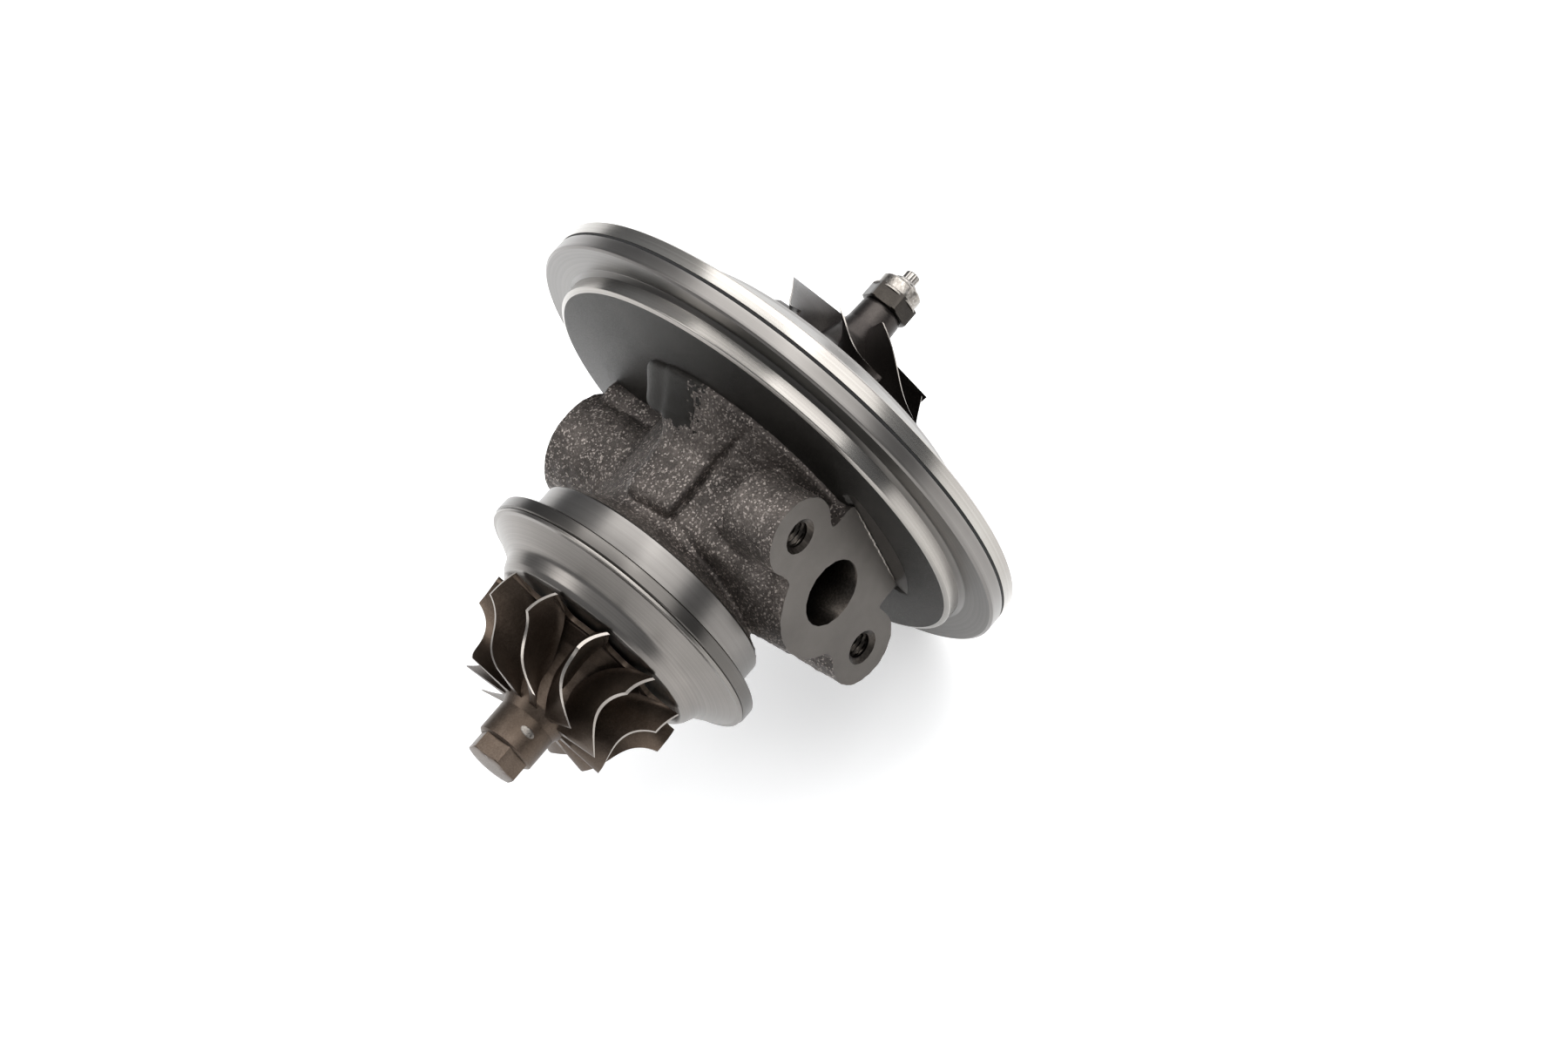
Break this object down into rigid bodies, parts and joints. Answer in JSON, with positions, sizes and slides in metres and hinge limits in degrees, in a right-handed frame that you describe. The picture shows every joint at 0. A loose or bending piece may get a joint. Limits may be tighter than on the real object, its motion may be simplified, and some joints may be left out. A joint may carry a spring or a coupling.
{
  "type": "turbocharger cartridge",
  "caption": "Turbocharger core: turbine and compressor wheels on one shaft in floating bushes, in a cast bearing housing with disc cover, heat shield, oil inlet and drain.",
  "frame": {"origin": "on the shaft axis, in the middle of the width of the cover disc's rim", "axes": "+X along the shaft from the turbine to the compressor; -Y out of the oil drain; +Y out of the oil inlet; +Z completes the right-handed set"},
  "size_m": [0.1214, 0.105, 0.105],
  "materials": {
    "cast_iron_housing": "rough sand-cast, with turned and milled faces",
    "nitrile_seals": "smooth moulded rubber",
    "shield_sheet": "pressed stainless sheet, satin",
    "ring_steel": "ground steel rings",
    "spring_steel": "blackened spring steel",
    "bearing_brass": "fine-bored bearing brass",
    "plate_steel": "turned plate",
    "turbine_alloy": "investment-cast nickel alloy, dark brown-gray",
    "shaft_steel": "ground steel",
    "compressor_alloy": "cast aluminium wheel, dark graphite",
    "nut_steel": "dark steel with a bright ground collar"
  },
  "bodies": {
    "housing": {"bearing_housing": "cast_iron_housing", "rim_o_ring": "nitrile_seals", "heat_shield": "shield_sheet", "turbine_seal_ring": "ring_steel", "bush_snap_rings": "spring_steel", "thrust_bearing": "bearing_brass", "thrust_bearing_dowels": "ring_steel", "oil_deflector": "plate_steel", "seal_plate": "plate_steel", "seal_plate_o_ring": "nitrile_seals", "seal_plate_circlip": "spring_steel", "compressor_seal_rings": "ring_steel"},
    "rotor": {"turbine_wheel": "turbine_alloy", "rotor_shaft": "shaft_steel", "thrust_washer": "shaft_steel", "thrust_collar": "shaft_steel", "flinger_sleeve": "shaft_steel", "compressor_wheel": "compressor_alloy", "lock_nut": "nut_steel"},
    "turbine_bush": {"turbine_bush": "bearing_brass"},
    "compressor_bush": {"compressor_bush": "bearing_brass"}
  },
  "joints": [
    {"name": "rotor_spin", "type": "hinge", "parent": "housing", "child": "rotor", "pos_m": [0, 0, 0], "axis": [1, 0, 0], "continuous": true},
    {"name": "turbine_bush_spin", "type": "hinge", "parent": "housing", "child": "turbine_bush", "pos_m": [-0.032, 0, 0], "axis": [1, 0, 0], "continuous": true},
    {"name": "compressor_bush_spin", "type": "hinge", "parent": "housing", "child": "compressor_bush", "pos_m": [-0.014, 0, 0], "axis": [1, 0, 0], "continuous": true}
  ]
}
